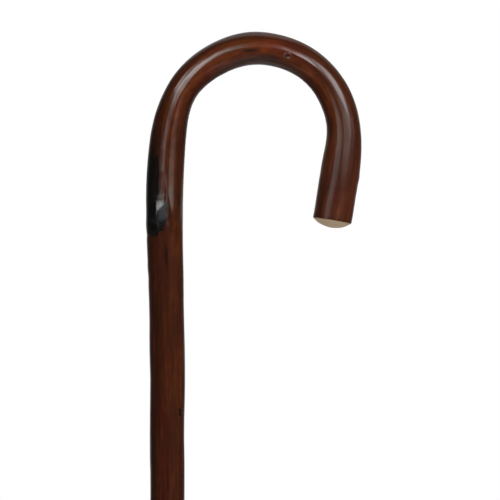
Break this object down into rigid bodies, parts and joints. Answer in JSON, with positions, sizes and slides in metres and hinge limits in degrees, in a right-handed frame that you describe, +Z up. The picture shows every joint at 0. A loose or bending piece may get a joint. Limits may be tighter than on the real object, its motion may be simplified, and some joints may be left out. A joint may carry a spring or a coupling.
{
  "type": "walking cane",
  "caption": "Crook-handled wooden walking cane: one bent hardwood stick with a rounded bare-wood nose, standing on a push-on rubber ferrule with a steel washer inside.",
  "frame": {"origin": "centre of the ferrule's underside, where the cane stands on the floor", "axes": "+Z up the shaft, +X from the shaft towards the nose of the crook, crook in the XZ plane"},
  "size_m": [0.1343, 0.0356, 0.9141],
  "materials": {
    "stained_wood": "dark red-brown stain under gloss varnish, scorched black at the knots, bare end grain on the nose",
    "black_rubber": "matt moulded black rubber",
    "washer_steel": "zinc-plated pressed steel"
  },
  "bodies": {
    "stick": {"stick": "stained_wood"},
    "ferrule": {"ferrule": "black_rubber", "ferrule_washer": "washer_steel"}
  },
  "joints": [
    {"name": "ferrule_pull", "type": "slide", "parent": "stick", "child": "ferrule", "axis": [0, 0, -1], "range_m": [0, 0.045]}
  ]
}
